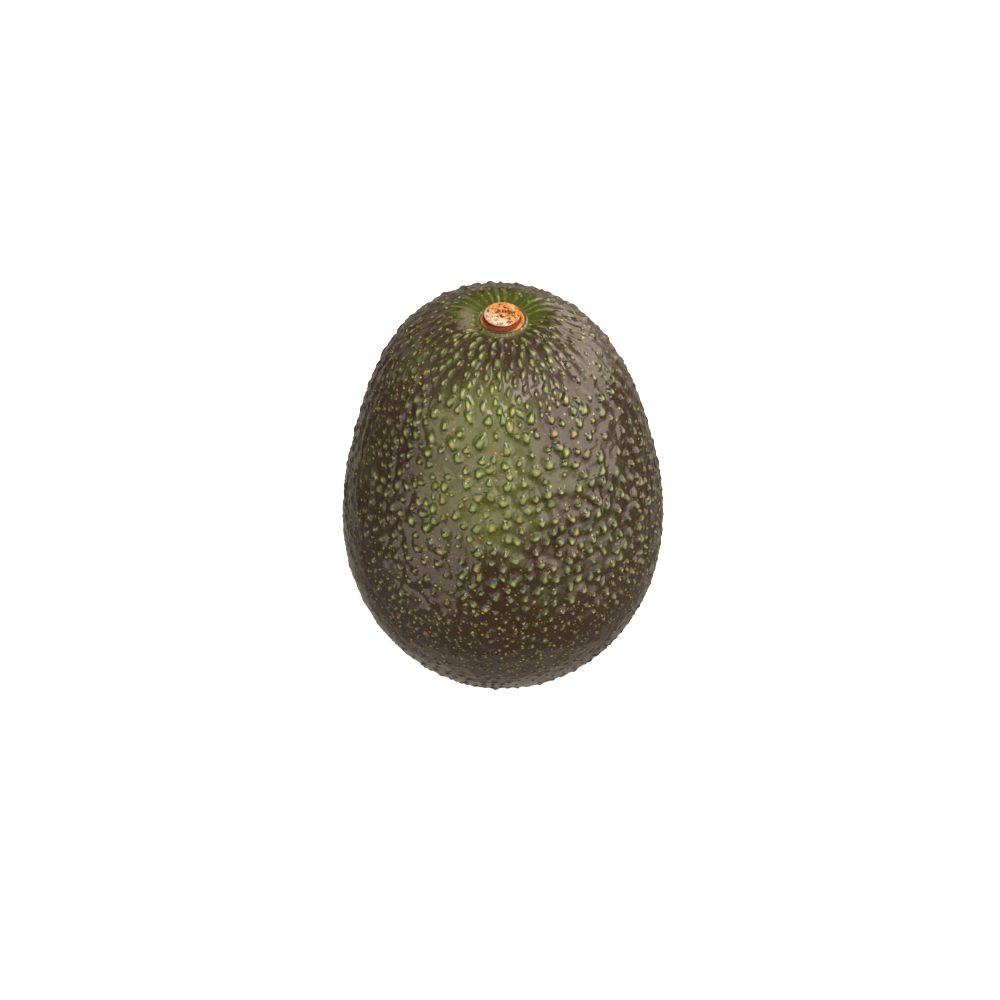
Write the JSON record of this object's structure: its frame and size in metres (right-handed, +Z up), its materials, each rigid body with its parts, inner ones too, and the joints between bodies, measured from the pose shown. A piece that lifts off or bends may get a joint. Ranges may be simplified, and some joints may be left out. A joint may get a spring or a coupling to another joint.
{
  "type": "avocado",
  "caption": "Whole dark-skinned avocado, pear-shaped with a pebbled skin, standing on a small flat spot at its blossom end, with its woody stem button on top.",
  "frame": {"origin": "middle of the small flat spot at the blossom end, which the fruit stands on", "axes": "+Z up along the fruit to its stem end, -Y to the front, where the tip of the neck bends to, +X to the right seen from the front"},
  "size_m": [0.07, 0.07, 0.0985],
  "materials": {
    "skin": "waxy, low gloss over fine pebbles",
    "stem_wood": "dry and corky"
  },
  "bodies": {
    "root": {"fruit": "skin", "stem_button": "stem_wood"}
  },
  "joints": []
}
